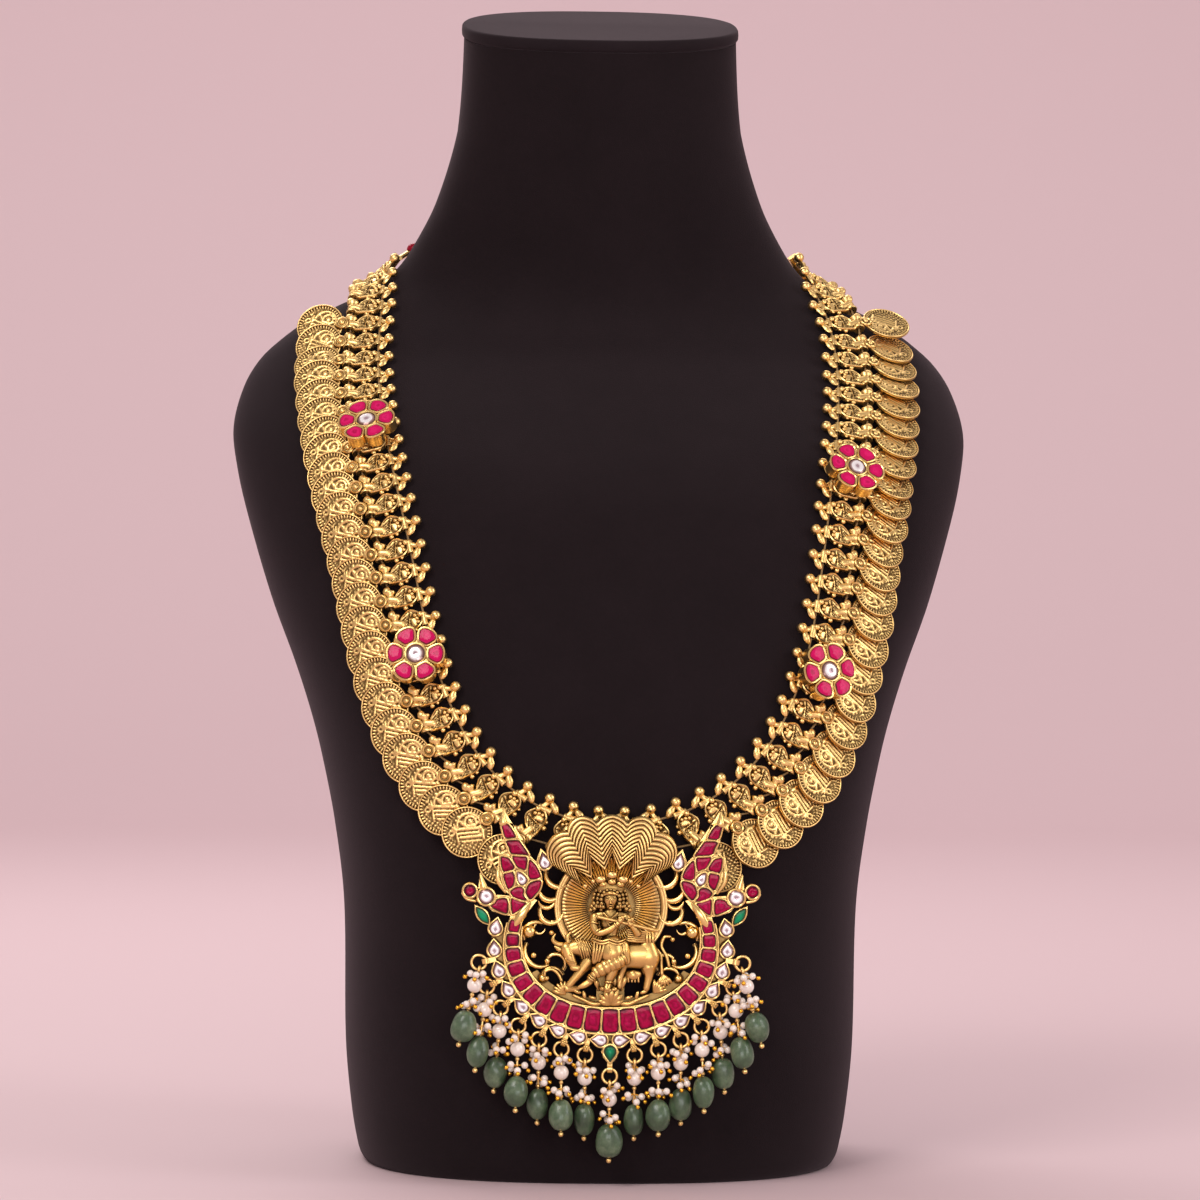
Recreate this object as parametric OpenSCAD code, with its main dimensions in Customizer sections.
// Long coin necklace with a pierced temple pendant, worn on a plain neck bust.
// The origin is the middle of the bust's base, +Z is up and the front faces -Y.

/* [Bust] */
// Height of the bust, from its base to the back of the neck cap
bust_h = 360; // [345:1:375]
// Width across the shoulders
shoulder_w = 228; // [222:1:238]
// Depth from the chest to the back
bust_d = 148; // [142:1:154]
// Thickness of the cap on the neck
cap_t = 4; // [3:0.5:6]
// How far the cap stands proud of the neck all round
cap_lip = 0.7; // [0.3:0.1:1.5]

/* [Coin string] */
// Links on each side of the loop
links_per_side = 31; // [30:1:32]
// Length of the coin string on the left, from its middle to its end
run_left = 246; // [242:1:250]
// Length of the coin string on the right, from its middle to its end
run_right = 254; // [250:1:256]
// Links next to the middle that carry no coin
bare_low = 2; // [1:1:3]
// Links at each upper end that carry no coin
bare_high = 4; // [3:1:6]
// Height of the threads above the velvet
thread_lift = 2; // [1.9:0.1:2.4]
// Thickness of a thread
thread_d = 0.6; // [0.5:0.1:0.7]
// Room round a thread in its bores
thread_room = 0.4; // [0.35:0.05:0.45]
// Diameter of a coin
coin_d = 15; // [14:0.25:15.5]
// Thickness of a coin
coin_t = 0.7; // [0.5:0.05:0.8]
// Height of a coin's raised rim and figure
coin_relief = 0.3; // [0.2:0.05:0.35]
// Diameter of the rosette that joins a coin to its link
rosette_d = 4.2; // [3.6:0.1:4.4]
// Length of a leaf, away from the inner thread
leaf_l = 6.2; // [5.6:0.1:6.6]
// Width of a leaf, along the thread
leaf_w = 6.2; // [5:0.1:6.4]
// Thickness of a leaf
leaf_t = 1.5; // [1:0.1:1.8]
// Length of the spool that the outer thread runs through
spool_l = 5.2; // [4.4:0.1:5.6]
// Diameter of the spool's ends
spool_d = 3; // [2.4:0.1:3.2]
// Length of the tube that the inner thread runs through
tube_l = 4; // [3.6:0.1:4.6]
// Diameter of the ball on the inner edge of a link
knob_d = 3.1; // [2.6:0.1:3.2]

/* [Flower brooches] */
// Radius from the flower's centre to its petal tips
flower_r = 8.7; // [8.4:0.1:9]
// Height of the flower's box
flower_h = 4; // [3:0.25:5]
// Length of a petal stone
petal_l = 4.7; // [4.2:0.1:4.8]
// Width of a petal stone
petal_w = 3.8; // [3.2:0.1:3.9]
// Diameter of the centre stone
flower_eye_d = 5.3; // [4.6:0.1:5.6]

/* [Pendant] */
// Width of the ruby crescent along the middle of its stones
crescent_w = 56.8; // [54:0.2:58]
// Depth of the ruby crescent below its centre
crescent_h = 22.4; // [21.4:0.2:23]
// Height of the ruby crescent's centre above the base
pendant_z = 71; // [69:0.5:76]
// Width of the row of teardrop stones
border_w = 67.4; // [67:0.2:69]
// Depth of the row of teardrop stones below the crescent's centre
border_h = 28; // [28:0.1:29]
// Thickness of the back plate
plate_t = 1.2; // [1:0.1:1.5]
// Height of the stone settings above the plate's back
setting_h = 2.8; // [2.4:0.1:3.2]
// How deep a stone sits in its setting
stone_seat = 1.9; // [1.4:0.1:2]
// How far a stone stands above its setting
stone_rise = 0.4; // [0.2:0.1:0.7]
// Wall of gold between two stones
stone_wall = 0.6; // [0.55:0.05:0.7]
// Room between a stone and its setting
stone_room = 0.11; // [0.11:0.01:0.15]
// Radius of the rayed disc behind the figure
halo_r = 16.4; // [15.8:0.2:16.8]
// Height of the feather canopy
canopy_h = 3.6; // [3:0.2:5]

/* [Drops] */
// Radius of a jump ring, to the middle of its wire
ring_r = 2.1; // [2:0.05:2.3]
// Wire of a jump ring
ring_wire = 0.8; // [0.7:0.05:0.9]
// Distance from a jump ring's centre to the middle of its green bead
drop_l = 18.8; // [18.4:0.1:20]
// Diameter of a green bead
jade_d = 7.2; // [6.6:0.1:7.3]
// Length of a green bead
jade_l = 9.3; // [8.6:0.1:9.4]
// Diameter of the middle green bead
big_jade_d = 9; // [8:0.1:9.4]
// Diameter of a pearl
pearl_d = 4.4; // [4:0.1:4.5]
// Wire of a drop's pin
pin_d = 0.7; // [0.6:0.05:0.8]
// Room round a pin in its bead
pin_room = 0.15; // [0.1:0.05:0.2]

/* [Back chain] */
// Thickness of the chain that runs behind the neck
back_chain_d = 1.6; // [1.2:0.1:2]
// Diameter of the red bead at each end of it
back_bead_d = 4.6; // [4:0.2:5]
// Length of the clasp
clasp_l = 9; // [7:0.5:12]
// Diameter of the clasp
clasp_d = 4; // [3.6:0.2:4.4]

/* [Hidden] */

gold = "goldenrod";
ruby = "crimson";
polki = "lavender";
emerald = "seagreen";
jade = "darkseagreen";
round_fn = 24;

// Plain helpers for vectors
function unit(v) = v / norm(v);
function wave_pow(v, e) = sign(v) * pow(abs(v), e);

// Skin of a row of rings, each seen counter-clockwise from the last ring's side
module skin(rings) {
    n = len(rings[0]);
    last = len(rings) - 1;
    polyhedron(
        points = [for (ring = rings) for (p = ring) p],
        faces = concat(
            [[for (i = [0:n - 1]) i]],
            [for (k = [0:last - 1]) for (i = [0:n - 1])
                [k * n + i, (k + 1) * n + i, (k + 1) * n + (i + 1) % n, k * n + (i + 1) % n]],
            [[for (i = [n - 1:-1:0]) last * n + i]]));
}

// Sections of the bust. Columns: height as a share of bust_h, half width as a share of
// shoulder_w, front and back as shares of bust_d
bust_rows = [
    [0.000, 0.314, -0.446, 0.459],
    [0.011, 0.320, -0.456, 0.473],
    [0.042, 0.329, -0.466, 0.480],
    [0.100, 0.338, -0.473, 0.486],
    [0.217, 0.342, -0.473, 0.493],
    [0.283, 0.355, -0.470, 0.493],
    [0.339, 0.373, -0.456, 0.493],
    [0.375, 0.388, -0.439, 0.493],
    [0.417, 0.410, -0.405, 0.493],
    [0.472, 0.443, -0.351, 0.493],
    [0.542, 0.477, -0.270, 0.500],
    [0.583, 0.493, -0.196, 0.507],
    [0.619, 0.500, -0.108, 0.514],
    [0.656, 0.487, -0.007, 0.520],
    [0.681, 0.465, 0.061, 0.524],
    [0.700, 0.434, 0.101, 0.527],
    [0.714, 0.404, 0.128, 0.527],
    [0.728, 0.362, 0.149, 0.527],
    [0.742, 0.316, 0.162, 0.527],
    [0.761, 0.280, 0.169, 0.527],
    [0.786, 0.253, 0.169, 0.527],
    [0.822, 0.225, 0.162, 0.527],
    [0.883, 0.197, 0.152, 0.527],
    [0.933, 0.189, 0.149, 0.527],
    [1.000, 0.189, 0.149, 0.527]
];
// How square its sections are, by height as a share of bust_h: 2 is an ellipse
power_rows = [[0, 2.5], [0.28, 2.5], [0.5, 2.1], [0.62, 2], [0.72, 2], [0.8, 2.3], [1, 2.5]];
function bust_power(z) = lookup(z / bust_h, power_rows);
bust_sides = 40;
cap_rise = 8;
seat_gap = 0.1;
cap_gap = 0.15;
cap_mid_z = bust_h - cap_rise - cap_t - cap_gap;

// Smooth curve through one column of bust_rows
function row_slope(c, i) =
    (bust_rows[i + 1][c] - bust_rows[i - 1][c]) / (bust_rows[i + 1][0] - bust_rows[i - 1][0]);
function end_slope(c, i) =
    i <= 0 || i >= len(bust_rows) - 1 ? 0 : row_slope(c, i);
function row_below(t) = max([for (i = [0:len(bust_rows) - 2]) if (i == 0 || bust_rows[i][0] <= t) i]);
function bust_share(c, t) =
    let (i = row_below(t), low = bust_rows[i], high = bust_rows[i + 1], d = high[0] - low[0],
        u = (t - low[0]) / d, u2 = u * u, u3 = u2 * u)
    (2 * u3 - 3 * u2 + 1) * low[c] + (u3 - 2 * u2 + u) * d * end_slope(c, i)
    + (3 * u2 - 2 * u3) * high[c] + (u3 - u2) * d * end_slope(c, i + 1);
function half_w(z) = shoulder_w * bust_share(1, z / bust_h);
function front_y(z) = bust_d * bust_share(2, z / bust_h);
function back_y(z) = bust_d * bust_share(3, z / bust_h);
function mid_y(z) = (front_y(z) + back_y(z)) / 2;
function half_d(z) = (back_y(z) - front_y(z)) / 2;

// Surface of the bust: its front at a place, its level value and its outward direction
function bust_front(x, z) =
    let (e = bust_power(z)) mid_y(z) - half_d(z) * pow(1 - pow(abs(x) / half_w(z), e), 1 / e);
function bust_level(p) =
    let (e = bust_power(p.z)) pow(abs(p.x) / half_w(p.z), e) + pow(abs(p.y - mid_y(p.z)) / half_d(p.z), e);
function bust_slope(p) = [for (d = [[0.5, 0, 0], [0, 0.5, 0], [0, 0, 0.5]])
    bust_level(p + d) - bust_level(p - d)];
function bust_normal(p) = unit(bust_slope(p));
function over_bust(p) = (bust_level(p) - 1) / norm(bust_slope(p));
function ring_dir(a, z) = [wave_pow(cos(a), 2 / bust_power(z)), wave_pow(sin(a), 2 / bust_power(z))];
function bust_ring(z, grow = 0, mid_z = undef, rise = 0) = [for (k = [0:bust_sides - 1])
    let (d = ring_dir(360 * k / bust_sides, z))
    [(half_w(z) + grow) * d.x, mid_y(z) + (half_d(z) + grow) * d.y,
        (is_undef(mid_z) ? z : mid_z) + rise * d.y]];

bust_ring_shares = [
    0, 0.005, 0.016, 0.042, 0.1, 0.17, 0.23, 0.283, 0.311, 0.339, 0.357, 0.375, 0.396, 0.417, 0.444,
    0.472, 0.507, 0.542, 0.562, 0.583, 0.601, 0.619, 0.637, 0.656, 0.668, 0.681, 0.7, 0.714, 0.728,
    0.742, 0.761, 0.786, 0.822, 0.883
];

module bust() {
    neck_z = 0.933 * bust_h;
    color("#1d1a20") skin(concat(
        [for (t = bust_ring_shares) bust_ring(t * bust_h)],
        [bust_ring(neck_z, 0, (0.883 * bust_h + cap_mid_z) / 2, cap_rise / 2),
            bust_ring(neck_z, 0, cap_mid_z, cap_rise)]));
}

module neck_cap() {
    neck_z = 0.933 * bust_h;
    edge = cap_t / 3;
    color("#1d1a20") translate([0, 0, cap_gap]) skin([
        bust_ring(neck_z, cap_lip - edge / 2, cap_mid_z, cap_rise),
        bust_ring(neck_z, cap_lip, cap_mid_z + edge, cap_rise),
        bust_ring(neck_z, cap_lip, cap_mid_z + cap_t - edge, cap_rise),
        bust_ring(neck_z, cap_lip - edge / 3, cap_mid_z + cap_t - edge / 3, cap_rise),
        bust_ring(neck_z, cap_lip - edge, cap_mid_z + cap_t, cap_rise)]);
}

// Route of the inner thread over the chest, from the middle to each shoulder: x and z
route_left = [
    [-15, 107.5], [-28.5, 114.5], [-39, 125], [-46.5, 138.5], [-51.7, 153], [-55.4, 168.5],
    [-58.6, 184], [-62, 199], [-65.3, 214], [-68, 229], [-69.2, 244.5], [-68.3, 259.5]
];
route_right = [
    [15.5, 106.7], [30, 112.8], [42, 122.5], [51, 134.7], [57, 148.8], [61, 164],
    [63.7, 179.5], [66.1, 194.6], [68.6, 210], [71.2, 225], [72.6, 240.5], [71.6, 256]
];
route_mid = [0, 105.2];
// Route up the side of the neck and round its back: angle from the side, z and height over
// the velvet
route_nape = [
    [-27, 265.5, 2], [-13, 270.3, 2], [-3, 274, 2.2], [6, 277.5, 2.5],
    [18, 280.5, 2.9], [34, 283, 3], [55, 285, 3], [75, 286, 3]
];
route_back = [90, 286, 3];

function chest_point(p) =
    let (s = [p.x, bust_front(p.x, p[1]), p[1]], n = bust_normal(s))
    [s.x, s.y + thread_lift / n.y, s.z];
function nape_point(p, side) =
    let (z = p[1], d = ring_dir(p[0], z),
        s = [side * half_w(z) * d.x, mid_y(z) + half_d(z) * d.y, z])
    s + (p[2] - 2 + thread_lift) * bust_normal(s);
function reversed(list) = [for (i = [len(list) - 1:-1:0]) list[i]];
function bend(a, b, c, d, t) =
    (2 * b + (c - a) * t + (2 * a - 5 * b + 4 * c - d) * t * t + (3 * b - a - 3 * c + d) * t * t * t) / 2;
function smooth(p, n = 4) = concat(
    [for (i = [0:len(p) - 2]) for (k = [0:n - 1])
        bend(p[max(i - 1, 0)], p[i], p[i + 1], p[min(i + 2, len(p) - 1)], k / n)],
    [p[len(p) - 1]]);
loop_points = smooth(concat(
    [nape_point(route_back, -1)], [for (p = reversed(route_nape)) nape_point(p, -1)],
    [for (p = reversed(route_left)) chest_point(p)], [chest_point(route_mid)],
    [for (p = route_right) chest_point(p)],
    [for (p = route_nape) nape_point(p, 1)], [nape_point(route_back, 1)]));
loop_run = [for (i = 0, s = 0; i < len(loop_points);
    s = s + (i + 1 < len(loop_points) ? norm(loop_points[i + 1] - loop_points[i]) : 0), i = i + 1) s];
mid_run = loop_run[4 * (1 + len(route_nape) + len(route_left))];
loop_x = [for (i = [0:len(loop_points) - 1]) [loop_run[i] - mid_run, loop_points[i].x]];
loop_y = [for (i = [0:len(loop_points) - 1]) [loop_run[i] - mid_run, loop_points[i].y]];
loop_z = [for (i = [0:len(loop_points) - 1]) [loop_run[i] - mid_run, loop_points[i].z]];
loop_start = loop_x[0][0];
loop_end = loop_x[len(loop_x) - 1][0];

// Place on the loop at a run from the middle: point, outward, along and face directions
link_mid = 9;
function loop_at(s) = [lookup(s, loop_x), lookup(s, loop_y), lookup(s, loop_z)];
function loop_dir(s) = unit(loop_at(s + 1) - loop_at(s - 1));
function flat_to(v, along) = unit(v - (v * along) * along);
front_dir = [0, -1, 0.4];
link_feet = [4, 7, 10];
foot_rows = [[205, 0], [222, 0.5]];
function station(s) =
    let (p = loop_at(s), t = loop_dir(s), out = unit(cross(t, front_dir)),
        n = flat_to(bust_normal(p + link_mid * out), t), b = cross(t, n),
        foot = thread_lift + lookup(abs(s), foot_rows),
        rise = max(0, max([for (r = link_feet) (foot - over_bust(p + r * b)) / r])),
        out_up = unit(b + rise * n))
    [p, out_up, t, cross(out_up, t)];
function to_world(f, v) = f[0] + v.x * f[1] + v.y * f[2] + v.z * f[3];
module at_station(f) {
    multmatrix([
        [f[1].x, f[2].x, f[3].x, f[0].x],
        [f[1].y, f[2].y, f[3].y, f[0].y],
        [f[1].z, f[2].z, f[3].z, f[0].z],
        [0, 0, 0, 1]])
        children();
}

// Links: how far each leans back towards the shoulder, by its number from the middle
lean_rows = [[0, 0], [1, 6], [2, 14], [3, 22], [4, 19], [5, 16], [7, 12], [10, 9], [14, 6], [22, 4], [30, 0]];
function run_of(side) = side < 0 ? run_left : run_right;
function pitch_of(side) = run_of(side) / links_per_side;
function link_run(side, k) = side * (k + 0.5) * pitch_of(side);
function lean_of(side, k) = side * lookup(k, lean_rows);
function has_coin(k) = k >= bare_low && k < links_per_side - bare_high;
knob_rows = [[23, 0], [26, 16], [30, 20]];
knob_out = 0.85;
// How far a coin hangs down from its link where the bust falls away, by the link's number
dip_rows = [[0, 0], [6, 0], [12, 4], [18, 9], [21, 8], [26, 4]];
function coin_dip(k) = lookup(k, dip_rows);
bore_d = thread_d + 2 * thread_room;
tube_d = bore_d + 1;
leaf_x = tube_d / 2 - 0.2;
spool_x = leaf_x + leaf_l + 0.4 + spool_d / 2;
rosette_x = spool_x + spool_d / 2 + rosette_d / 2 - 1;
coin_x = rosette_x - 0.4 + coin_d / 2;
function leaned(f, side, k, v) =
    let (a = lean_of(side, k))
    to_world(f, [v.x * cos(a) - v.y * sin(a), v.x * sin(a) + v.y * cos(a), v.z]);

// Coins lap like roof tiles: each is tilted until it clears the one that it lies over
coin_gap = 0.3;
coin_low = 1.3;
coin_least = 0.5;
coin_frames = [for (side = [-1, 1]) [for (k = [0:links_per_side - 1]) station(link_run(side, k))]];
function coin_frame(side, k) = coin_frames[side < 0 ? 0 : 1][k];
function dipped(k, x, z) =
    let (a = coin_dip(k), d = x - spool_x) [spool_x + d * cos(a) + z * sin(a), 0, z * cos(a) - d * sin(a)];
function coin_mid(side, k) = leaned(coin_frame(side, k), side, k, dipped(k, coin_x, coin_least));
function coin_up(side, k) =
    leaned(coin_frame(side, k), side, k, dipped(k, spool_x, 1)) - leaned(coin_frame(side, k), side, k, [spool_x, 0, 0]);
function pair_tilt(side, k) =
    let (a = side < 0 ? k + 1 : k, b = side < 0 ? k : k + 1, fa = coin_frame(side, a), fb = coin_frame(side, b),
        d = coin_mid(side, b) - coin_mid(side, a), twist = abs(fb[3] * fa[1]),
        need = coin_t + coin_relief + coin_gap - d * coin_up(side, a) + 0.35 * coin_d * twist)
    asin(max(0.1, min(0.36, need / norm(d))));
function coin_tilt(side, k) = max(pair_tilt(side, max(bare_low, k - 1)),
    pair_tilt(side, min(k, links_per_side - bare_high - 2)));
function coin_z(side, k) = max(coin_least, coin_d / 2 * sin(coin_tilt(side, k)) - coin_low);

module leaf_outline(l, w) {
    polygon([[0, -0.2 * w], [0.24 * l, -0.5 * w], [0.7 * l, -0.47 * w], [l, -0.32 * w], [0.94 * l, 0.2 * w],
        [0.62 * l, 0.5 * w], [0.22 * l, 0.45 * w], [0, 0.2 * w]]);
}

module coin() {
    r = coin_d / 2;
    rotate_extrude($fn = 36) polygon([[0, 0], [r, 0], [r, coin_t + coin_relief], [r - 0.6, coin_t + coin_relief],
        [r - 0.6, coin_t], [0.78 * r, coin_t], [0.78 * r, coin_t + 0.6 * coin_relief],
        [0.71 * r, coin_t + 0.6 * coin_relief], [0.71 * r, coin_t], [0, coin_t]]);
    linear_extrude(coin_t + coin_relief) {
        translate([-0.3 * r, 0]) circle(0.13 * r, $fn = round_fn);
        polygon([[-0.2 * r, -0.18 * r], [-0.2 * r, 0.18 * r], [0.16 * r, 0.2 * r], [0.44 * r, 0.48 * r],
            [0.44 * r, -0.48 * r], [0.16 * r, -0.2 * r]]);
    }
}

module spool(bore) {
    rotate([90, 0, 0]) difference() {
        union() {
            cylinder(d = 0.66 * spool_d, h = spool_l, center = true, $fn = round_fn);
            for (s = [-1, 1]) translate([0, 0, s * 0.38 * spool_l])
                cylinder(d = spool_d, h = 0.24 * spool_l, center = true, $fn = round_fn);
        }
        cylinder(d = bore, h = spool_l + 1, center = true, $fn = round_fn);
    }
}

module link(side, k) {
    difference() {
        union() {
            rotate([90, 0, 0]) cylinder(d = tube_d, h = tube_l, center = true, $fn = round_fn);
            rotate([0, lookup(k, knob_rows), 0]) {
                translate([-tube_d / 2 - knob_out - 0.6, -0.6, -0.5]) cube([knob_out + 1.2, 1.2, 1]);
                translate([-tube_d / 2 - knob_d / 2 - knob_out, 0, 0]) sphere(d = knob_d, $fn = round_fn);
            }
            rotate([0, 0, lean_of(side, k)]) {
                translate([leaf_x, 0, -leaf_t / 2]) linear_extrude(leaf_t) leaf_outline(leaf_l, leaf_w);
                translate([leaf_x + 0.3 * leaf_l, 0, leaf_t / 2 - 0.1])
                    linear_extrude(0.5) leaf_outline(0.56 * leaf_l, 0.6 * leaf_w);
                translate([leaf_x + leaf_l - 0.5, -0.6, -0.5]) cube([1.6, 1.2, 1]);
            }
        }
        rotate([90, 0, 0]) cylinder(d = bore_d, h = 3 * tube_l, center = true, $fn = round_fn);
    }
    rotate([0, 0, lean_of(side, k)]) {
        translate([spool_x, 0, 0]) spool(bore_d);
        if (has_coin(k)) {
            translate([spool_x, 0, 0]) rotate([0, coin_dip(k), 0])
                translate([coin_x - spool_x, 0, coin_z(side, k)]) rotate([-coin_tilt(side, k), 0, 0])
                    translate([0, 0, -coin_t / 2]) {
                        coin();
                        translate([rosette_x - coin_x, 0, 0]) {
                            cylinder(d = rosette_d, h = coin_t + 0.7, $fn = round_fn);
                            cylinder(d = 0.4 * rosette_d, h = coin_t + 1.1, $fn = round_fn);
                        }
                    }
        }
    }
}

module link_string(side) {
    color(gold) for (k = [0:links_per_side - 1]) at_station(station(link_run(side, k))) link(side, k);
}

// Threads: a ring of points at each bore's ends
function tube_ring(p, along, up, d, sides) =
    let (v = flat_to(up, along), u = cross(v, along))
    [for (i = [0:sides - 1]) p + d / 2 * (cos(360 * i / sides) * u + sin(360 * i / sides) * v)];
function path_dir(p, i) = unit(p[min(i + 1, len(p) - 1)] - p[max(i - 1, 0)]);
module thread(points, ups, d, sides = 8) {
    skin([for (i = [0:len(points) - 1]) tube_ring(points[i], path_dir(points, i), ups[i], d, sides)]);
}
bar_run_left = -(run_left + 1.6);
bar_run_right = run_right + 1.6;
function link_order() = concat(
    [for (k = [links_per_side - 1:-1:0]) [-1, k]], [for (k = [0:links_per_side - 1]) [1, k]]);
link_frames = [for (e = link_order()) [e[0], e[1], station(link_run(e[0], e[1]))]];
bar_frames = [station(bar_run_left), station(bar_run_right)];
inner_points = concat([to_world(bar_frames[0], [0, 0, 0])], [for (l = link_frames) l[2][0]],
    [to_world(bar_frames[1], [0, 0, 0])]);
outer_points = concat([to_world(bar_frames[0], [spool_x, 0, 0])],
    [for (l = link_frames) for (e = [-1, 1]) leaned(l[2], l[0], l[1], [spool_x, e * spool_l / 2, 0])],
    [to_world(bar_frames[1], [spool_x, 0, 0])]);
inner_ups = concat([bar_frames[0][3]], [for (l = link_frames) l[2][3]], [bar_frames[1][3]]);
outer_ups = concat([bar_frames[0][3]], [for (l = link_frames) for (e = [0, 1]) l[2][3]], [bar_frames[1][3]]);

module inner_thread() {
    color("peru") thread(inner_points, inner_ups, thread_d);
}

module outer_thread() {
    color("peru") thread(outer_points, outer_ups, thread_d, 6);
}

// A bar at each end takes both threads and holds the ring of the back chain
bar_t = 1.6;
bar_h = 2.9;
end_ring_r = 1.9;
end_ring_wire = 0.9;
module end_bar(side) {
    f = bar_frames[side < 0 ? 0 : 1];
    at_station(f) {
        difference() {
            translate([-1.2, -bar_t / 2, -bar_h / 2]) cube([spool_x + 2.4, bar_t, bar_h]);
            for (x = [0, spool_x]) translate([x, -side * 0.4, 0]) rotate([90, 0, 0])
                cylinder(d = bore_d + 0.8, h = bar_t, center = true, $fn = round_fn);
        }
        translate([spool_x / 2, side * (bar_t / 2 + end_ring_r), 0])
            rotate_extrude($fn = round_fn) translate([end_ring_r, 0]) circle(d = end_ring_wire, $fn = 16);
    }
}

module end_bars() {
    color(gold) for (side = [-1, 1]) end_bar(side);
}

// Back chain, from ring to ring round the nape
chain_start = bar_t / 2 + 2 * end_ring_r + end_ring_wire / 2 + 0.5;
chain_step = 9;
function chain_foot(side) = to_world(bar_frames[side < 0 ? 0 : 1], [spool_x / 2, side * chain_start, 0]);
function chain_half(side) =
    let (from = abs(side < 0 ? bar_run_left : bar_run_right) + chain_start + 10,
        to = abs(side < 0 ? loop_start : loop_end), n = ceil((to - from) / chain_step))
    concat([chain_foot(side)], [for (i = [0:n - 1]) loop_at(side * (from + (to - from) * i / n))]);
chain_points = smooth(concat(chain_half(-1), [loop_at(loop_start)], reversed(chain_half(1))), 2);
chain_mid = (len(chain_points) - 1) / 2;

module back_chain() {
    ups = [for (p = chain_points) bust_normal(p)];
    color(gold) thread(chain_points, ups, back_chain_d);
}

module drilled_on(a, b) {
    v = b - a;
    translate((a + b) / 2) rotate([0, acos(v.z / norm(v)), atan2(v.y, v.x)]) children();
}

module back_beads() {
    last = len(chain_points) - 1;
    color(ruby) for (i = [1, last - 2]) drilled_on(chain_points[i], chain_points[i + 1]) difference() {
        sphere(d = back_bead_d, $fn = round_fn);
        cylinder(d = back_chain_d + 0.5, h = 2 * back_bead_d, center = true, $fn = round_fn);
    }
}

module clasp() {
    i = floor(chain_mid);
    color(gold) drilled_on(chain_points[i - 1], chain_points[i + 1]) difference() {
        cylinder(d = clasp_d, h = clasp_l, center = true, $fn = round_fn);
        cylinder(d = back_chain_d + 0.7, h = 2 * clasp_l, center = true, $fn = round_fn);
    }
}

// Stone outlines, all counter-clockwise
function cushion(w, h, cut = 0.22) =
    let (x = w / 2, y = h / 2, c = cut * min(w, h))
    [[x, -y + c], [x, y - c], [x - c, y], [-x + c, y], [-x, y - c], [-x, -y + c], [-x + c, -y], [x - c, -y]];
function oval(w, h, n = 10) = [for (i = [0:n - 1]) [w / 2 * cos(360 * i / n), h / 2 * sin(360 * i / n)]];
function teardrop(l, w, room = 0) =
    let (x = w / 2 - l / 2, a = acos(w / (2 * l - w)), r = w / 2 + room)
    concat([[x + r / cos(a), 0]],
        [for (k = [0:7]) let (b = a + k * (360 - 2 * a) / 7) [x + r * cos(b), r * sin(b)]]);
function marquise(l, w) = concat(
    [for (k = [0:4]) let (u = 1 - k / 2) [l / 2 * u, w / 2 * (1 - u * u)]],
    [for (k = [1:3]) let (u = k / 2 - 1) [l / 2 * u, -w / 2 * (1 - u * u)]]);

// A cut stone: a straight girdle, facets up to a flat table
module cut_stone(outline, seat, rise, table = 0.62) {
    skin([
        [for (p = outline) [p.x, p.y, 0]],
        [for (p = outline) [p.x, p.y, seat - 0.2]],
        [for (p = outline) [table * p.x, table * p.y, seat + rise]]]);
}

// Flower brooches stand over a gap between two links, on tubes round both threads
// Columns: side, gap from the middle, distance from the inner thread, share of the bust's
// sideways slope that the flower keeps, turn of its petals
flower_rows = [[-1, 20, 4.4, 1, -5], [-1, 10, 4.4, 0.45, -3], [1, 10, 5, 0.9, 12], [1, 18, 5, 1, -2]];
flower_z = 3.5;
petal_r = petal_w / 2 + 1;
petal_at = flower_r - petal_r;
petal_out = 0.15;
bail_l = 1.6;
bail_d = bore_d + 1;
function flower_frame(i) =
    let (row = flower_rows[i], f = station(row[0] * row[1] * pitch_of(row[0])), n = f[3],
        face = unit([row[3] * n.x, n.y, n.z]), right = flat_to([1, 0, 0], face))
    [to_world(f, [row[2], 0, 0]) + flower_z * face, right, cross(face, right), face];
function gap_index(i) = links_per_side + flower_rows[i][0] * flower_rows[i][1];

module bail(a, b, up, post) {
    v = unit(b - a);
    n = flat_to(up, v);
    at_station([(a + b) / 2, cross(v, n), v, n]) difference() {
        union() {
            rotate([90, 0, 0]) cylinder(d = bail_d, h = bail_l, center = true, $fn = round_fn);
            translate([-0.6, -bail_l / 2, 0]) cube([1.2, bail_l, post]);
        }
        rotate([90, 0, 0]) cylinder(d = bore_d + 0.2, h = 2 * bail_l, center = true, $fn = round_fn);
    }
}

module at_petals(i, x) {
    for (a = [0:60:300]) rotate(a + flower_rows[i][4]) translate([x, 0]) children();
}

module flower_setting(i) {
    f = flower_frame(i);
    g = gap_index(i);
    color(gold) {
        at_station(f) difference() {
            linear_extrude(flower_h) {
                circle(r = petal_at, $fn = round_fn);
                at_petals(i, petal_at) circle(r = petal_r, $fn = round_fn);
            }
            translate([0, 0, flower_h - stone_seat]) linear_extrude(flower_h) {
                polygon(oval(flower_eye_d + 2 * stone_room, flower_eye_d + 2 * stone_room));
                at_petals(i, petal_at + petal_out)
                    polygon(oval(petal_w + 2 * stone_room, petal_l + 2 * stone_room, 8));
            }
        }
        for (ends = [[inner_points[g], inner_points[g + 1]], [outer_points[2 * g], outer_points[2 * g + 1]]])
            bail(ends[0], ends[1], f[3], (f[0] - (ends[0] + ends[1]) / 2) * f[3] + 0.4);
    }
}

module flower_rubies(i) {
    color(ruby) at_station(flower_frame(i)) translate([0, 0, flower_h - stone_seat + seat_gap])
        at_petals(i, petal_at + petal_out) cut_stone(oval(petal_w, petal_l, 8), stone_seat, stone_rise);
}

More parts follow.
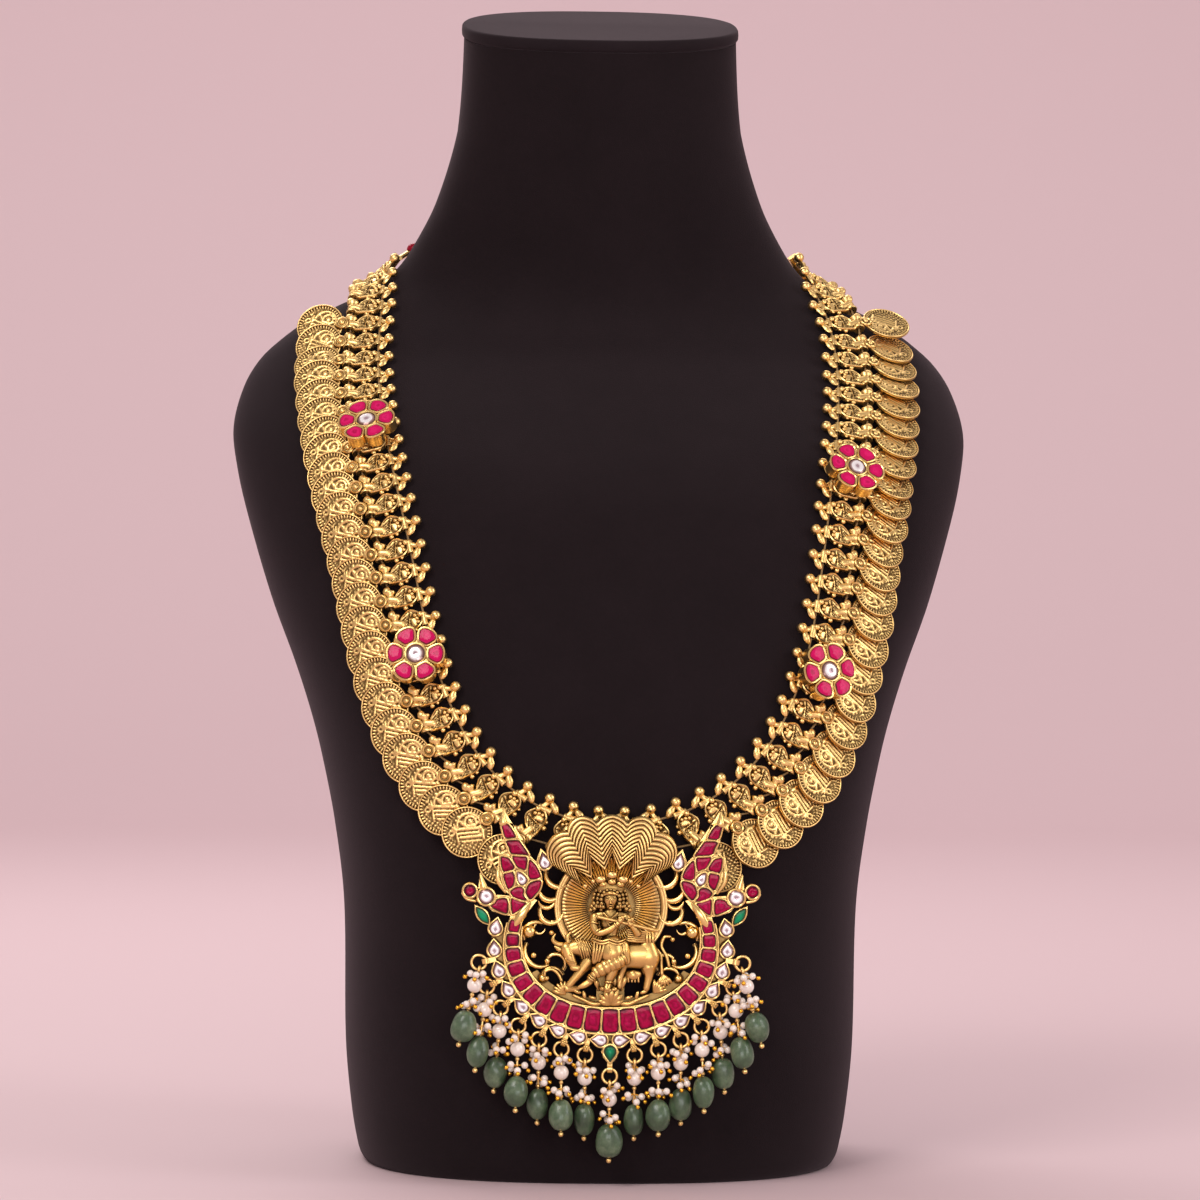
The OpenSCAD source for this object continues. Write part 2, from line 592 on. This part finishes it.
module flower_eyes() {
    color(polki) for (i = [0:3]) at_station(flower_frame(i))
        translate([0, 0, flower_h - stone_seat + seat_gap])
            cut_stone(oval(flower_eye_d, flower_eye_d), stone_seat, stone_rise);
}

// Pendant plane: x to the right, y up from the crescent's centre, z towards the viewer
link_top = 2.6;
pendant_gap = 0.6;
pendant_back = front_y(0.28 * bust_h) - thread_lift - link_top - pendant_gap;
module at_pendant() {
    translate([0, pendant_back, pendant_z]) rotate([90, 0, 0]) children();
}
module both_sides() {
    children();
    mirror([1, 0, 0]) children();
}

// Oval rows: a point at an angle from straight down, and the angle at a run along the row
function row_r(size, a) =
    pow(pow(abs(sin(a)) / size[0], size[2]) + pow(abs(cos(a)) / size[1], size[2]), -1 / size[2]);
function row_point(size, a) = row_r(size, a) * [sin(a), -cos(a)];
function row_table(size) = [for (i = 0, s = 0; i <= 64;
    s = s + norm(row_point(size, 2 * i + 2) - row_point(size, 2 * i)), i = i + 1) [s, 2 * i]];
function row_angle(table, s) = sign(s) * lookup(abs(s), table);
function row_turn(size, a) =
    let (d = row_point(size, a + 1) - row_point(size, a - 1)) atan2(d.y, d.x);
module on_row(size, table, s, out = 0) {
    a = row_angle(table, s);
    p = row_point(size, a);
    translate(p) rotate(row_turn(size, a)) translate([0, -out]) children();
}

crescent_size = [crescent_w / 2, crescent_h, 2.15];
crescent_table = row_table(crescent_size);
crescent_count = 10;
crescent_share = crescent_h / 22.4;
function ruby_run(i) = crescent_share * (5.2 * i - 0.06 * i * (i + 1));
function ruby_w(i) = crescent_share * (5.14 - 0.12 * i) - stone_wall;
function ruby_h(i) = 6.4 - 3.8 * pow(i / crescent_count, 1.6);
crescent_end = ruby_run(crescent_count) + ruby_w(crescent_count) / 2 + stone_wall;
function band_half(s) = ruby_h(crescent_count * min(1, abs(s) / ruby_run(crescent_count))) / 2 + stone_wall;
function row_edge(size, table, s, out) =
    let (a = row_angle(table, s), t = row_turn(size, a))
    row_point(size, a) + out * [sin(t), -cos(t)];
band_steps = 24;
function band_run(i) = crescent_end * i / band_steps;

module crescent_band() {
    polygon(concat(
        [for (i = [-band_steps:band_steps])
            row_edge(crescent_size, crescent_table, band_run(i), band_half(band_run(i)))],
        [for (i = [band_steps:-1:-band_steps])
            row_edge(crescent_size, crescent_table, band_run(i), -band_half(band_run(i)))]));
}

module crescent_stones(grow) {
    for (i = [-crescent_count:crescent_count])
        on_row(crescent_size, crescent_table, sign(i) * ruby_run(abs(i)))
            polygon(cushion(ruby_w(abs(i)) + grow, ruby_h(abs(i)) + grow));
}

border_size = [border_w / 2, border_h, 2];
border_table = row_table(border_size);
border_count = 9;
border_share = border_h / 28;
border_pitch = 6.25 * border_share;
border_first = 3.3 * border_share;
border_l = 3.9;
border_stone_w = 3;
border_wall = 0.75;
function border_run(i) = border_first + i * border_pitch;

module border_row(l, w, room = 0) {
    both_sides() for (i = [0:border_count - 1]) on_row(border_size, border_table, border_run(i))
        polygon(teardrop(l, w, room));
}

// The crescent's gold and the teardrop row join in a thin plate
module border_plate() {
    s_end = border_run(border_count - 1);
    n = 20;
    polygon(concat(
        [for (i = [-n:n]) row_edge(border_size, border_table, s_end * i / n, 0.7)],
        [for (i = [n:-1:-n]) row_edge(border_size, border_table, s_end * i / n, -2.6)]));
}

// Peacocks, drawn once on the left: tail, wing, neck, head, beak and crest
bird_tail = [[-31.2, 38.2], [-31.9, 34], [-31.2, 29.5], [-29.6, 25], [-23.4, 25], [-25.8, 30], [-28.2, 33.6]];
bird_wing = [
    [-32.8, 24.9], [-32.4, 20.4], [-31.4, 17], [-30.2, 14.6], [-28.2, 13], [-25.4, 12.2], [-23.2, 12.6],
    [-21.3, 14.2], [-20.2, 16.6], [-20, 19.4], [-20.8, 22.5], [-23.4, 25], [-28, 26]
];
bird_neck = [
    [-36.5, 11.6], [-34.4, 9.2], [-31.2, 8], [-27.4, 7.8], [-24.2, 8.8], [-21.4, 12.4],
    [-25.4, 13.4], [-29.6, 13.6], [-33, 13.8]
];
bird_head = [-36.1, 13.3];
bird_beak = [-40.8, 15];
bird_crest = [[-38.4, 15.6], [-37.8, 20.2], [-35.6, 15.8]];
bird_leaf = [[-29.2, 9], [-23, 12.6], [-26.6, 5.4], [-28.4, 2.8]];
// Stones of the left peacock: x, y, turn, length and width
bird_ruby_rows = [
    [-29.8, 32.4, 75, 4.2, 2.4], [-27, 27.8, 20, 4.6, 3],
    [-29.9, 22.6, 80, 4, 2.8], [-25.9, 23.4, 5, 3.8, 2.2], [-22.4, 21.2, -60, 4.2, 2.5],
    [-21.6, 17.1, 75, 3.4, 2.4], [-23.9, 14.1, 28, 2.9, 2], [-27.4, 14.3, -15, 3, 2],
    [-30, 18.2, -82, 3.8, 2.2], [-31, 10.8, -12, 4.2, 3.2], [-26.6, 10.8, 4, 3.8, 3]
];
wing_eye = [-25.9, 18.9, 100, 4.6, 2.6];
head_stone_d = 4.4;
beak_stone_d = 3.4;
marquise_rows = [-37.1, 7.9, -53, 5.2, 2];
side_polki = [-19.6, 24, 105, 4.9, 3.2];
low_drop = [0, -31.9, -90, 4.6, 3.4];

module row_place(row) {
    translate([row[0], row[1]]) rotate(row[2]) children();
}

module bird_form() {
    polygon(bird_tail);
    polygon(bird_wing);
    polygon(bird_neck);
    polygon(bird_crest);
    polygon(bird_leaf);
    translate(bird_head) circle(d = head_stone_d + 2 * stone_wall, $fn = round_fn);
    translate(bird_beak) circle(d = beak_stone_d + 2 * stone_wall, $fn = round_fn);
    row_place(marquise_rows) polygon(marquise(marquise_rows[3] + 2.4, marquise_rows[4] + 1.6));
    row_place(side_polki) polygon(teardrop(side_polki[3] + 1.8, side_polki[4] + 1.6));
}

module bird_ruby_pockets(grow) {
    for (row = bird_ruby_rows) row_place(row) polygon(cushion(row[3] + grow, row[4] + grow, 0.3));
    translate(bird_beak) polygon(oval(beak_stone_d + grow, beak_stone_d + grow, 8));
}

module bird_pockets() {
    grow = 2 * stone_room;
    bird_ruby_pockets(grow);
    row_place(wing_eye) polygon(teardrop(wing_eye[3], wing_eye[4], stone_room));
    translate(bird_head) polygon(oval(head_stone_d + grow, head_stone_d + grow));
    row_place(marquise_rows) polygon(marquise(marquise_rows[3] + 2.5 * grow, marquise_rows[4] + 1.5 * grow));
    row_place(side_polki) polygon(teardrop(side_polki[3], side_polki[4], stone_room));
}

// Scrolls: a curl is a bent band with a ball at its end
function arc_points(r, from, to, n = 10) = [for (i = [0:n]) let (a = from + (to - from) * i / n) r * [cos(a), sin(a)]];
module curl(x, y, r, from, to, w = 1.1) {
    translate([x, y]) polygon(concat(arc_points(r + w / 2, from, to), reversed(arc_points(r - w / 2, from, to))));
}
module curl_ball(x, y, d) {
    translate([x, y]) circle(d = d, $fn = round_fn);
}

module scrolls() {
    curl(-21.6, 2.4, 3.6, 60, 205);
    curl(-20.2, -2.4, 4.6, 150, 300);
    curl_ball(-23.5, 3.2, 3.6);
    curl(-15.8, -6, 2.8, -40, 190);
    curl(-16.8, -10.4, 3.2, 20, 170);
    curl_ball(-19.6, -10.2, 2.4);
    curl(-17.2, 9, 3.4, 150, 350, 1.3);
    curl(-17.6, 15.6, 3.4, 160, 330, 1.3);
    curl(-15, 20, 4, 170, 300, 1.4);
}

ground_w = 2.4;
module ground() {
    n = 16;
    s_end = 0.62 * crescent_end;
    inner = [for (i = [-n:n]) let (s = s_end * i / n) [s, -band_half(s)]];
    polygon(concat(
        [for (p = inner) row_edge(crescent_size, crescent_table, p[0], p[1] + 0.4)],
        [for (p = reversed(inner)) row_edge(crescent_size, crescent_table, p[0], p[1] - ground_w)]));
}

halo_at = [0, 10.5];
spine_w = 8;
spine_top = 35;
bail_bar = 19;
module pendant_plate() {
    translate(halo_at) circle(r = halo_r, $fn = 64);
    translate([-spine_w / 2, -17.6]) square([spine_w, spine_top + 17.6]);
    translate([-bail_bar / 2, spine_top - 3]) square([bail_bar, 3.6]);
    ground();
    border_plate();
    both_sides() scrolls();
    translate([-20.5, 22.4]) square([41, 2.6]);
}

// Eyes on the outer edge carry the jump rings
eye_d = ring_wire + 1.6;
eye_bore = ring_wire + 0.7;
eye_out = border_stone_w / 2 + border_wall + eye_d / 2 - 0.65;
eye_low_z = setting_h / 2;
eye_high_z = eye_low_z + 2;
eye_l = 1.4;
low_eye = [low_drop[0], low_drop[1] - low_drop[3] / 2 - 2.1];
drops_per_side = 7;
function gap_run(j) = border_run(j) + border_pitch / 2;
function eye_place(j) = row_edge(border_size, border_table, gap_run(j), eye_out);
function eye_turn(j) = row_turn(border_size, row_angle(border_table, gap_run(j)));
function out_dir(j) = let (t = eye_turn(j)) [sin(t), -cos(t)];

function eye_z(j) = j == drops_per_side - 1 ? eye_high_z : eye_low_z;
module eye(p, z, turn, post) {
    translate([p.x, p.y, z]) rotate(turn) difference() {
        union() {
            rotate([0, 90, 0]) cylinder(d = eye_d, h = eye_l, center = true, $fn = round_fn);
            translate([-eye_l / 2, 0, 0.3 - z]) cube([eye_l, post, z + 0.5]);
        }
        rotate([0, 90, 0]) cylinder(d = eye_bore, h = 4 * eye_l, center = true, $fn = round_fn);
    }
}

module pendant_pockets() {
    grow = 2 * stone_room;
    crescent_stones(grow);
    border_row(border_l, border_stone_w, stone_room);
    both_sides() bird_pockets();
    row_place(low_drop) polygon(teardrop(low_drop[3], low_drop[4], stone_room));
}

bail_runs = [-1, 0, 1];
module pendant_frame() {
    color(gold) {
        at_pendant() {
            difference() {
                union() {
                    linear_extrude(plate_t) pendant_plate();
                    linear_extrude(setting_h) {
                        crescent_band();
                        border_row(border_l + 2 * border_wall, border_stone_w + 2 * border_wall);
                        both_sides() bird_form();
                        row_place(low_drop) polygon(teardrop(low_drop[3] + 1.9, low_drop[4] + 1.7));
                    }
                    linear_extrude(plate_t + 0.5) difference() {
                        translate(halo_at) circle(r = halo_r, $fn = 64);
                        translate(halo_at) circle(r = halo_r - 1, $fn = 64);
                        translate([-30, -40]) square([60, 46]);
                    }
                }
                translate([0, 0, setting_h - stone_seat]) linear_extrude(setting_h) pendant_pockets();
            }
            for (j = [0:drops_per_side - 1]) both_sides() eye(eye_place(j), eye_z(j), eye_turn(j), 2.9);
            eye(low_eye, eye_low_z, 0, 2);
        }
        for (g = bail_runs) {
            a = inner_points[links_per_side + g];
            b = inner_points[links_per_side + g + 1];
            bail(a, b, [0, -1, 0], (a.y + b.y) / 2 - pendant_back + 0.4);
        }
    }
}

module pendant_stone(p, turn, outline, table = 0.62) {
    translate([p[0], p[1], setting_h - stone_seat + seat_gap]) rotate(turn)
        cut_stone(outline, stone_seat, stone_rise, table);
}

module crescent_rubies() {
    color(ruby) at_pendant() for (i = [-crescent_count:crescent_count]) {
        a = row_angle(crescent_table, sign(i) * ruby_run(abs(i)));
        pendant_stone(row_point(crescent_size, a), row_turn(crescent_size, a),
            cushion(ruby_w(abs(i)), ruby_h(abs(i))), 0.7);
    }
}

module border_polki() {
    color(polki) at_pendant() both_sides() for (i = [0:border_count - 1]) {
        a = row_angle(border_table, border_run(i));
        pendant_stone(row_point(border_size, a), row_turn(border_size, a), teardrop(border_l, border_stone_w));
    }
}

module bird_rubies() {
    for (row = bird_ruby_rows) pendant_stone(row, row[2], cushion(row[3], row[4], 0.3), 0.7);
    pendant_stone(bird_beak, 0, oval(beak_stone_d, beak_stone_d, 8), 0.7);
}

module bird_rubies_left() {
    color(ruby) at_pendant() bird_rubies();
}

module bird_rubies_right() {
    color(ruby) at_pendant() mirror([1, 0, 0]) bird_rubies();
}

module bird_polki() {
    color(polki) at_pendant() both_sides() {
        pendant_stone(wing_eye, wing_eye[2], teardrop(wing_eye[3], wing_eye[4]));
        pendant_stone(bird_head, 0, oval(head_stone_d, head_stone_d));
    }
}

module canopy_polki() {
    color(polki) at_pendant() both_sides()
        pendant_stone(side_polki, side_polki[2], teardrop(side_polki[3], side_polki[4]));
}

module green_stones() {
    color(emerald) at_pendant() {
        both_sides() pendant_stone(marquise_rows, marquise_rows[2], marquise(marquise_rows[3], marquise_rows[4]));
        pendant_stone(low_drop, low_drop[2], teardrop(low_drop[3], low_drop[4]));
    }
}

// Canopy: five scalloped lobes in steps that rise to the middle
canopy_foot = [0, 20];
canopy_lobes = [[0, 12.7, 4.6], [8.4, 10.9, 4.8], [15, 6.6, 4.4]];
module canopy_outline() {
    both_sides() for (c = canopy_lobes) translate([c[0], c[1]]) circle(r = c[2], $fn = 32);
    polygon([[-18.8, 3.6], [-12.2, -0.7], [-7.6, -2.4], [-4, 1.2], [4, 1.2], [7.6, -2.4], [12.2, -0.7],
        [18.8, 3.6], [14.6, 9], [8.4, 14], [0, 16], [-8.4, 14], [-14.6, 9]]);
}
canopy_steps = [[1, 0.34], [0.85, 0.56], [0.7, 0.76], [0.54, 0.9], [0.38, 1]];
module canopy() {
    color(gold) at_pendant() translate([canopy_foot.x, canopy_foot.y, plate_t + 0.5 + seat_gap])
        for (step = canopy_steps) linear_extrude(step[1] * canopy_h)
            difference() {
                translate([0, 3 * (1 - step[0])]) scale(step[0]) canopy_outline();
                both_sides() translate([side_polki[0] - canopy_foot.x, side_polki[1] - canopy_foot.y])
                    circle(d = side_polki[3] + 1.8 + 2 * seat_gap, $fn = 32);
            }
}

// Cast figures, of round limbs that are flattened towards the plate
figure_back = plate_t + seat_gap;
module limb(a, ra, b, rb, flat = 0.7) {
    hull() {
        translate(a) scale([1, 1, flat]) sphere(ra, $fn = 8);
        translate(b) scale([1, 1, flat]) sphere(rb, $fn = 8);
    }
}
cow_top = 4.6;
module kept_above(z) {
    difference() {
        children();
        translate([-30, -30, z - 20]) cube([60, 60, 20]);
    }
}

module cow_form() {
    limb([-6.6, -2.6, 2.6], 3.7, [9, -4.2, 2.6], 4, 0.5);
    limb([-7.5, -2.4, 2.6], 2.8, [-13.4, -2.2, 2.8], 2.1, 0.7);
    limb([-13.6, -2.4, 2.8], 2.1, [-11.8, -6.8, 2.8], 1.2, 0.7);
    limb([-14.6, -0.8, 2.6], 0.9, [-17.4, 1.4, 2.6], 0.7, 0.8);
    limb([-12.6, -0.6, 2.6], 0.7, [-13.6, 2.2, 2.6], 0.4, 0.9);
    limb([-8, -5.4, 2.6], 1.7, [-12.4, -12.4, 2.6], 1, 0.7);
    limb([1.2, -6, 2.6], 1.5, [1.4, -13, 2.6], 1, 0.7);
    limb([9.6, -6, 2.6], 2, [9.6, -13, 2.6], 1.1, 0.7);
    limb([12.2, -3, 2.6], 0.7, [13.2, -9, 2.6], 0.8, 0.8);
    limb([5, -7.4, 2.4], 2, [5.4, -9.4, 2.4], 1.4, 0.6);
}

module cow() {
    color(gold) at_pendant() difference() {
        kept_above(figure_back) cow_form();
        translate([-30, -30, cow_top]) cube([60, 60, 20]);
        translate([-6, 2, -1]) cube([20, 20, 20]);
    }
}

module player_form() {
    limb([-0.3, 13, 4.2], 2.6, [-0.3, 12, 4.2], 2.2, 0.85);
    limb([-0.2, 14.6, 3.2], 3.4, [-0.2, 12.6, 3], 3.8, 0.55);
    limb([-3.4, 12, 3], 1.7, [-4, 9.6, 3], 1.4, 0.7);
    limb([3.2, 12, 3], 1.7, [3.8, 9.6, 3], 1.4, 0.7);
    limb([-0.4, 16.6, 3.8], 1.5, [0, 17.6, 3.6], 1.1, 0.9);
    limb([-0.5, 8, 3.6], 3, [-0.6, 2.6, 4.2], 2.3, 0.75);
    limb([-0.6, 2.6, 4.6], 2.4, [-0.6, -1.6, 6], 3.2, 0.7);
    limb([-3.4, 7.6, 4.4], 1.4, [-5.2, 3.6, 5.4], 1.1, 0.85);
    limb([-5.2, 3.6, 5.4], 1.1, [1.4, 6.6, 6.6], 0.9, 0.85);
    limb([3, 7.6, 4.4], 1.4, [6.2, 4, 5.4], 1.1, 0.85);
    limb([6.2, 4, 5.4], 1.1, [3.4, 6.2, 6.6], 0.9, 0.85);
    limb([-4.4, 8, 7.2], 0.6, [12.2, 4.2, 5.8], 0.6, 1);
    limb([-2, -2, 6.2], 2.6, [-4.2, -7.8, 6.6], 2.2, 0.75);
    limb([-4.2, -7.8, 6.6], 1.8, [-8.4, -12, 6.2], 1, 0.75);
    limb([1.4, -2, 6.2], 2.6, [-1.4, -9.6, 6.4], 1.8, 0.75);
    limb([-1.4, -9.6, 6.4], 1.4, [-2.4, -13, 6.2], 1, 0.75);
    limb([2.8, 1, 5.8], 1, [7, 2.6, 5.6], 0.7, 0.9);
}

module flute_player() {
    color(gold) at_pendant() difference() {
        kept_above(figure_back) player_form();
        translate([-30, -32, -1]) cube([60, 34, 1 + cow_top + seat_gap]);
    }
}

// Lotus on the ground below the figure, between two leaves
module lotus() {
    color(gold) at_pendant() kept_above(figure_back) {
        for (a = [-60, -30, 0, 30, 60]) translate([-0.4, -17.6, 2.6]) rotate(-a)
            limb([0, 0, 0], 0.9, [0, 3.2 - abs(a) / 60, 0.6 - abs(a) / 100], 0.9, 0.8);
        limb([-8.4, -16, 2.4], 0.8, [-12.2, -15, 2.4], 0.6, 0.8);
        limb([-3, -16.9, 2.6], 0.8, [-8.4, -16, 2.4], 0.8, 0.8);
        limb([7.6, -16, 2.4], 0.8, [11.4, -15, 2.4], 0.6, 0.8);
        limb([2.2, -16.9, 2.6], 0.8, [7.6, -16, 2.4], 0.8, 0.8);
    }
}

// Drops: a jump ring, then a pin through a pearl and a green bead. Number 0 hangs in the
// middle and numbers 1 to 7 go out to each side
splay_end = 13;
jade_back_z = 0.2;
jade_front_z = 3.4;
jade_end_z = 4.6;
big_jade_l = 1.08 * big_jade_d;
pearl_at = 6.73;
loop_wire = pin_d + 0.1;
loop_r = (ring_wire + loop_wire) / 2 + 0.24;
loop_drop = 0.08;
function drop_side(n) = n % 2 == 0 ? 1 : -1;
function drop_rank(n) = ceil(n / 2);
function drop_eye(n) = n == 0 ? low_eye : let (p = eye_place(drop_rank(n) - 1)) [drop_side(n) * p.x, p.y];
function drop_out(n) = n == 0 ? [0, -1] : let (d = out_dir(drop_rank(n) - 1)) [drop_side(n) * d.x, d.y];
function ring_at(n) = let (p = drop_eye(n) + ring_r * drop_out(n)) [p.x, p.y, eye_z(drop_rank(n) - 1)];
function splay(n) = n == 0 ? 0 : drop_side(n) * splay_end * pow((drop_rank(n) - 1) / (drops_per_side - 1), 3);
function jade_z(n) =
    n == 0 ? 0.6 : drop_rank(n) == drops_per_side ? jade_end_z : drop_rank(n) % 2 == 0 ? jade_front_z : jade_back_z;
function jade_at(n) = let (c = ring_at(n), a = splay(n)) [c.x + drop_l * sin(a), c.y - drop_l * cos(a), jade_z(n)];
function jade_half(n) = (n == 0 ? big_jade_l : jade_l) / 2;
function drop_top(n) = let (c = ring_at(n)) [c.x, c.y - ring_r, c.z];
function drop_dir(n) = unit(jade_at(n) - drop_top(n));
module along_drop(n, run) {
    v = drop_dir(n);
    translate(drop_top(n) + run * v) rotate([0, acos(v.z), atan2(v.y, v.x)]) children();
}
function jade_run(n) = norm(jade_at(n) - drop_top(n));
pearl_run = pearl_at - ring_r;
last_drop = 2 * drops_per_side;
tip_d = 1.6;
collar_d = 1.3;
bead_bore = pin_d + 2 * pin_room;

module jump_rings() {
    color(gold) at_pendant() for (n = [0:last_drop]) translate(ring_at(n))
        rotate_extrude($fn = 32) translate([ring_r, 0]) circle(d = ring_wire, $fn = 16);
}

// Half of a pin's outline: the shaft with a collar under the pearl and over the bead, and a
// ball at the tip
function bump(z, d, to = undef) =
    let (a = acos(pin_d / d), b = is_undef(to) ? -a : to)
    [for (i = [0:6]) let (c = a + (b - a) * i / 6) [d / 2 * cos(c), z - d / 2 * sin(c)]];
module drop_pin(n) {
    top = loop_drop + loop_r;
    tip = jade_run(n) + jade_half(n) + tip_d / 2;
    along_drop(n, loop_drop) rotate([90, 0, 0])
        rotate_extrude($fn = round_fn) translate([loop_r, 0]) circle(d = loop_wire, $fn = 16);
    along_drop(n, 0) rotate_extrude($fn = round_fn) polygon(concat(
        [[0, top], [pin_d / 2, top]],
        [for (run = [pearl_run + pearl_d / 2 + collar_d / 2, jade_run(n) - jade_half(n) - collar_d / 2])
            for (p = bump(run, collar_d)) p],
        bump(tip, tip_d, -85), [[0, tip + tip_d / 2]]));
}

module drop_pins() {
    color(gold) at_pendant() for (n = [0:last_drop]) drop_pin(n);
}

module pearls() {
    color("ivory") at_pendant() for (n = [0:last_drop]) along_drop(n, pearl_run) difference() {
        sphere(d = pearl_d, $fn = round_fn);
        cylinder(d = bead_bore, h = 2 * pearl_d, center = true, $fn = round_fn);
    }
}

module green_bead(n) {
    w = (n == 0 ? big_jade_d : jade_d) / 2;
    h = jade_half(n) - 0.1;
    hole = bead_bore / 2;
    color(jade) at_pendant() along_drop(n, jade_run(n)) rotate_extrude($fn = 32)
        polygon(concat(
            [[hole, -h], [hole, h]],
            [for (a = [75:-15:-75]) [w * cos(a), h * sin(a)]]));
}

bust();
neck_cap();
link_string(-1);  // link_string_left
link_string(1);  // link_string_right
inner_thread();
outer_thread();
end_bars();
back_chain();
back_beads();
clasp();
flower_setting(0);  // flower_setting_1
flower_setting(1);  // flower_setting_2
flower_setting(2);  // flower_setting_3
flower_setting(3);  // flower_setting_4
flower_rubies(0);  // flower_rubies_1
flower_rubies(1);  // flower_rubies_2
flower_rubies(2);  // flower_rubies_3
flower_rubies(3);  // flower_rubies_4
flower_eyes();
pendant_frame();
canopy();
flute_player();
cow();
lotus();
crescent_rubies();
border_polki();
bird_rubies_left();
bird_rubies_right();
bird_polki();
canopy_polki();
green_stones();
jump_rings();
drop_pins();
pearls();
green_bead(0);  // green_bead_1
green_bead(1);  // green_bead_2
green_bead(2);  // green_bead_3
green_bead(3);  // green_bead_4
green_bead(4);  // green_bead_5
green_bead(5);  // green_bead_6
green_bead(6);  // green_bead_7
green_bead(7);  // green_bead_8
green_bead(8);  // green_bead_9
green_bead(9);  // green_bead_10
green_bead(10);  // green_bead_11
green_bead(11);  // green_bead_12
green_bead(12);  // green_bead_13
green_bead(13);  // green_bead_14
green_bead(14);  // green_bead_15
